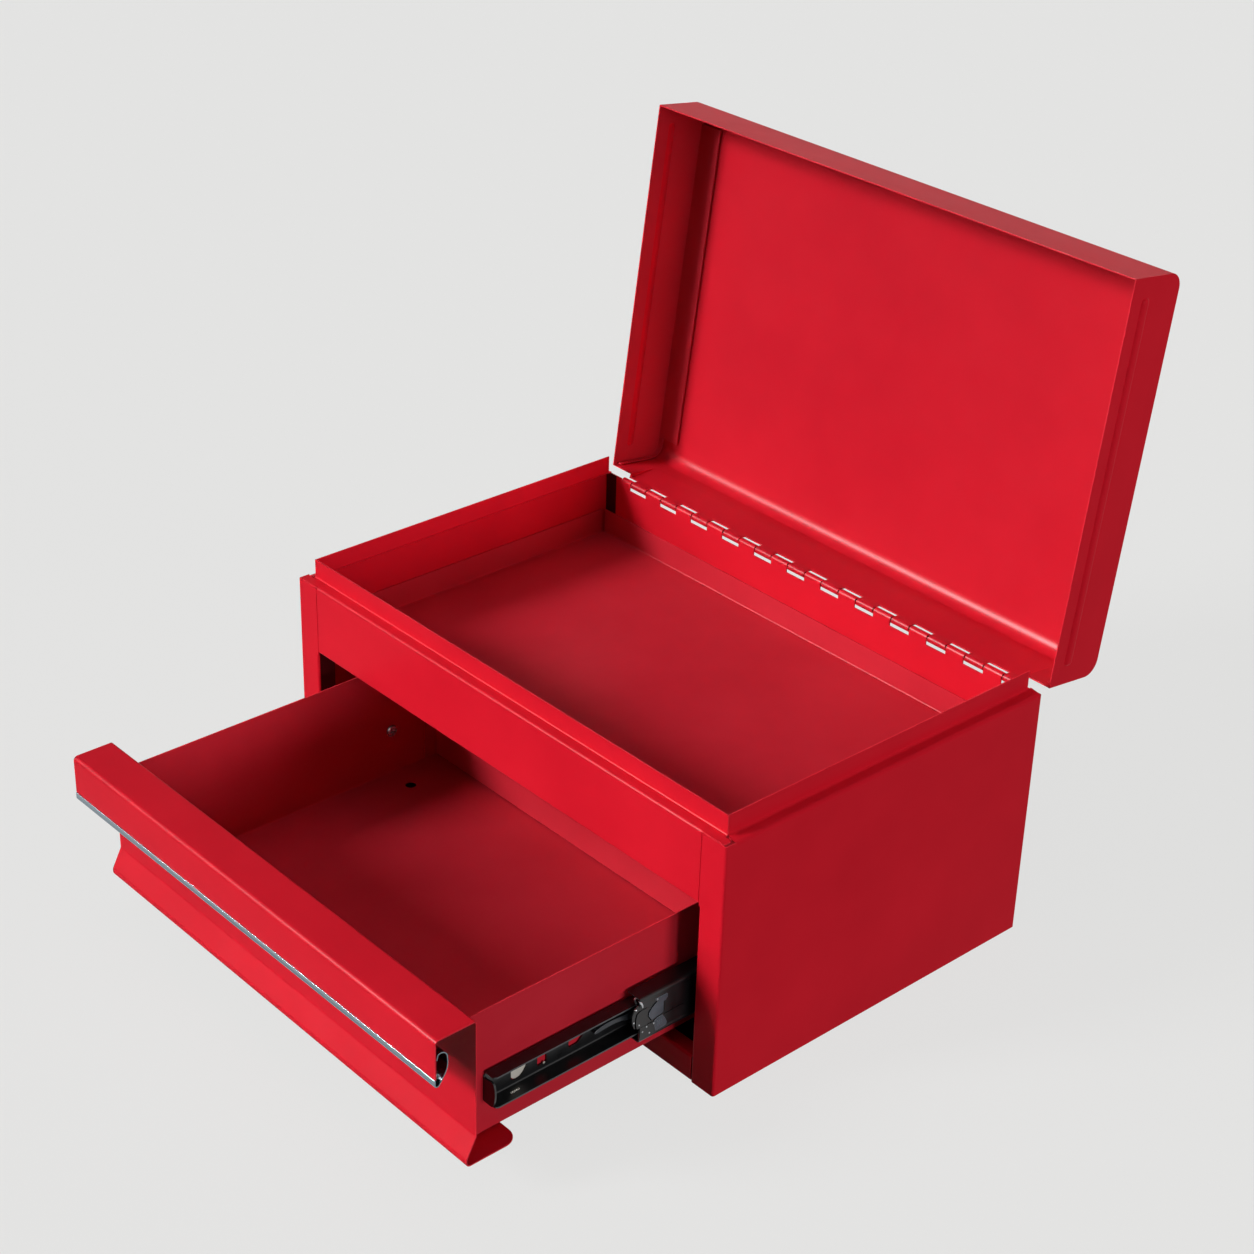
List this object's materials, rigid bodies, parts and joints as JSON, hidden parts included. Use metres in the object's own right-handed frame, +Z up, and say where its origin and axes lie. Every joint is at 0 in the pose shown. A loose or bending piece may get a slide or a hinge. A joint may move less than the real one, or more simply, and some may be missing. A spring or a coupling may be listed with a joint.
{
  "type": "toolbox with tray",
  "caption": "Steel tool chest with a hinged lid over an open tray and a full-width drawer on ball-bearing slides, shown with lid and drawer open.",
  "frame": {"origin": "middle of the footprint, on the underside of the bottom panel that the chest stands on", "axes": "+Z up, +X to the right of someone facing the drawer, +Y from the drawer towards the back panel; stored with the lid 97.4 degrees open and the drawer 182 mm out"},
  "size_m": [0.4712, 0.6203, 0.503],
  "materials": {
    "enamel_red": "semi-gloss powder coat",
    "enamel_red_inner": "semi-gloss powder coat, thinner inside",
    "trim_aluminium": "bright polished",
    "slide_black": "black zinc, satin",
    "lever_plastic": "matte",
    "bearing_steel": "oiled steel",
    "zinc_steel": "zinc plated"
  },
  "bodies": {
    "chest": {"side_panel_right": "enamel_red", "side_panel_left": "enamel_red", "front_rail_top": "enamel_red", "bottom_panel": "enamel_red", "back_panel": "enamel_red", "tray_pan": "enamel_red", "hinge_pin": "zinc_steel", "slide_outer_rail_right": "slide_black", "slide_outer_rail_left": "slide_black", "slide_bracket_right": "enamel_red_inner", "slide_bracket_left": "enamel_red_inner"},
    "lid": {"lid_panel": "enamel_red", "lid_end_cap_right": "enamel_red", "lid_end_cap_left": "enamel_red"},
    "drawer": {"drawer_front": "enamel_red", "drawer_trim": "trim_aluminium", "drawer_box": "enamel_red_inner", "drawer_back": "enamel_red_inner", "slide_runner_right": "slide_black", "slide_runner_left": "slide_black", "drawer_screw_right": "zinc_steel", "drawer_screw_left": "zinc_steel"},
    "middle_rail_right": {"slide_middle_rail_right": "slide_black", "slide_latch_right": "lever_plastic"},
    "inner_cage_right": {"ball_cage_inner_right": "bearing_steel"},
    "outer_cage_right": {"ball_cage_outer_right": "bearing_steel"},
    "lever_right": {"release_lever_right": "lever_plastic"},
    "middle_rail_left": {"slide_middle_rail_left": "slide_black", "slide_latch_left": "lever_plastic"},
    "inner_cage_left": {"ball_cage_inner_left": "bearing_steel"},
    "outer_cage_left": {"ball_cage_outer_left": "bearing_steel"},
    "lever_left": {"release_lever_left": "lever_plastic"}
  },
  "joints": [
    {"name": "lid_hinge", "type": "hinge", "parent": "chest", "child": "lid", "pos_m": [0, 0.1553, 0.199], "axis": [1, 0, 0], "range_deg": [0, 97.4]},
    {"name": "drawer_slide", "type": "slide", "parent": "chest", "child": "drawer", "axis": [0, 1, 0], "range_m": [-0.058, 0.182]},
    {"name": "middle_rail_slide_right", "type": "slide", "parent": "chest", "child": "middle_rail_right", "axis": [0, 1, 0], "range_m": [-0.0194, 0.0607]},
    {"name": "inner_cage_slide_right", "type": "slide", "parent": "chest", "child": "inner_cage_right", "axis": [0, 1, 0], "range_m": [-0.0387, 0.1214]},
    {"name": "outer_cage_slide_right", "type": "slide", "parent": "chest", "child": "outer_cage_right", "axis": [0, 1, 0], "range_m": [-0.0097, 0.0304]},
    {"name": "release_lever_pivot_right", "type": "hinge", "parent": "drawer", "child": "lever_right", "pos_m": [0.198, -0.1855, 0.0675], "axis": [1, 0, 0], "range_deg": [-8, 8], "stiffness_Nm_per_rad": 0.05},
    {"name": "middle_rail_slide_left", "type": "slide", "parent": "chest", "child": "middle_rail_left", "axis": [0, 1, 0], "range_m": [-0.0194, 0.0607]},
    {"name": "inner_cage_slide_left", "type": "slide", "parent": "chest", "child": "inner_cage_left", "axis": [0, 1, 0], "range_m": [-0.0387, 0.1214]},
    {"name": "outer_cage_slide_left", "type": "slide", "parent": "chest", "child": "outer_cage_left", "axis": [0, 1, 0], "range_m": [-0.0097, 0.0304]},
    {"name": "release_lever_pivot_left", "type": "hinge", "parent": "drawer", "child": "lever_left", "pos_m": [-0.198, -0.1855, 0.0675], "axis": [1, 0, 0], "range_deg": [-8, 8], "stiffness_Nm_per_rad": 0.05}
  ],
  "couplings": [
    {"joint": "middle_rail_slide_right", "follows": "drawer_slide", "ratio": 0.33333},
    {"joint": "inner_cage_slide_right", "follows": "drawer_slide", "ratio": 0.66667},
    {"joint": "outer_cage_slide_right", "follows": "drawer_slide", "ratio": 0.16667},
    {"joint": "middle_rail_slide_left", "follows": "drawer_slide", "ratio": 0.33333},
    {"joint": "inner_cage_slide_left", "follows": "drawer_slide", "ratio": 0.66667},
    {"joint": "outer_cage_slide_left", "follows": "drawer_slide", "ratio": 0.16667}
  ]
}
